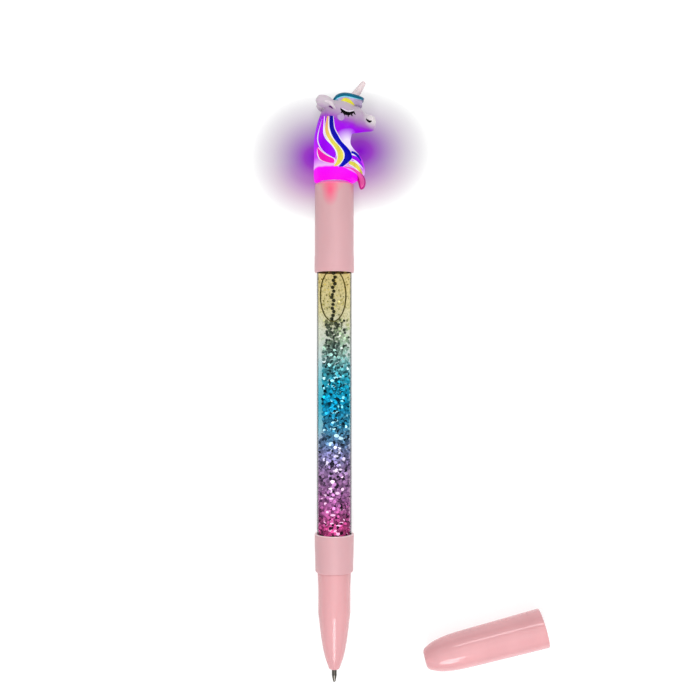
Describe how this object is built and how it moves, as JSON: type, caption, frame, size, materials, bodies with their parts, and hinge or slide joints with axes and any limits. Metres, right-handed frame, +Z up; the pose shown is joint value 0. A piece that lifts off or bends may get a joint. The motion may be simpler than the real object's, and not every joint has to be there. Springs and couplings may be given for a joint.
{
  "type": "gel pen",
  "caption": "Light-up gel pen with a liquid glitter barrel, a pressed unicorn-head topper on a battery sleeve, a screw-off grip with its refill, and a loose push-on cap.",
  "frame": {"origin": "middle of the pen and cap layout, on the surface that both lie on", "axes": "+Y along the pen from the writing point to the head, +Z up from the surface, +X from the pen towards the cap"},
  "size_m": [0.0726, 0.1862, 0.0123],
  "materials": {
    "fitting_pink": "glossy pale pink moulding",
    "grip_pink": "glossy warm pink moulding",
    "cap_pink": "glossy warm pink moulding",
    "clear_plastic": "clear, polished",
    "plug_white": "soft white stopper",
    "tinted_liquid": "clear liquid, graded from yellow through cyan to pink",
    "glitter_foil": "bright hexagonal foil",
    "white_plastic": "plain moulding",
    "cell_steel": "plated can",
    "contact_brass": "stamped strip",
    "spring_steel": "drawn wire",
    "tip_steel": "turned and polished",
    "ball_carbide": "ground ball",
    "refill_clear": "translucent tube",
    "ink": "black gel",
    "grease": "clear grease",
    "hair_lilac": "painted lilac relief",
    "hair_blue": "painted blue relief",
    "hair_yellow": "painted yellow relief",
    "hair_violet": "painted violet relief",
    "hair_pink": "painted pink relief",
    "board_green": "printed board",
    "chip_black": "ceramic chip",
    "head_skin": "translucent white vinyl, lit from inside",
    "horn_skin": "translucent white vinyl",
    "led_lens": "clear dome, lit"
  },
  "bodies": {
    "barrel": {"collar": "fitting_pink", "barrel_tube": "clear_plastic", "lower_plug": "plug_white", "upper_plug": "plug_white", "liquid": "tinted_liquid", "glitter_flakes": "glitter_foil", "sleeve": "fitting_pink", "battery_holder": "white_plastic", "button_cell_1": "cell_steel", "button_cell_2": "cell_steel", "button_cell_3": "cell_steel", "bottom_contact": "contact_brass", "contact_spring": "spring_steel", "return_spring": "spring_steel"},
    "refill": {"metal_tip": "tip_steel", "tip_holder": "white_plastic", "refill_tube": "refill_clear", "gel_ink": "ink", "grease_follower": "grease", "refill_tail_plug": "white_plastic"},
    "ball": {"tip_ball": "ball_carbide"},
    "grip": {"grip": "grip_pink"},
    "head": {"head_shell": "head_skin", "horn": "horn_skin", "forelock": "hair_lilac", "mane_blue_lock": "hair_blue", "mane_yellow_lock": "hair_yellow", "mane_violet_lock": "hair_violet", "mane_pink_lock": "hair_pink", "chest_blue_lock": "hair_blue", "chest_violet_lock": "hair_violet", "chest_yellow_lock": "hair_yellow", "chest_pink_curl": "hair_pink", "head_stem": "white_plastic", "circuit_board": "board_green", "contact_stud": "contact_brass", "chip_resistor": "chip_black", "led": "led_lens", "led_leads": "spring_steel"},
    "cap": {"cap": "cap_pink"}
  },
  "joints": [
    {"name": "head_press", "type": "slide", "parent": "barrel", "child": "head", "axis": [0, -1, 0], "range_m": [0, 0.0005], "stiffness_N_per_m": 800, "springref_m": -0.0005, "deforming": ["return_spring"]},
    {"name": "refill_feed", "type": "slide", "parent": "barrel", "child": "refill", "axis": [0, -1, 0], "range_m": [0, 0.005]},
    {"name": "grip_turn", "type": "hinge", "parent": "refill", "child": "grip", "pos_m": [-0.03005, -0.09299, 0.00615], "axis": [0, -1, 0], "range_deg": [0, 720]},
    {"name": "ball_roll", "type": "hinge", "parent": "refill", "child": "ball", "pos_m": [-0.03005, -0.09264, 0.00615], "axis": [1, 0, 0], "continuous": true},
    {"name": "cap_swing", "type": "hinge", "parent": "barrel", "child": "cap", "pos_m": [0.02627, -0.13678, 0], "axis": [0, 0, 1], "range_deg": [0, 75.2]}
  ],
  "couplings": [
    {"joint": "grip_turn", "follows": "refill_feed", "rad_per_m": 2513.3}
  ]
}
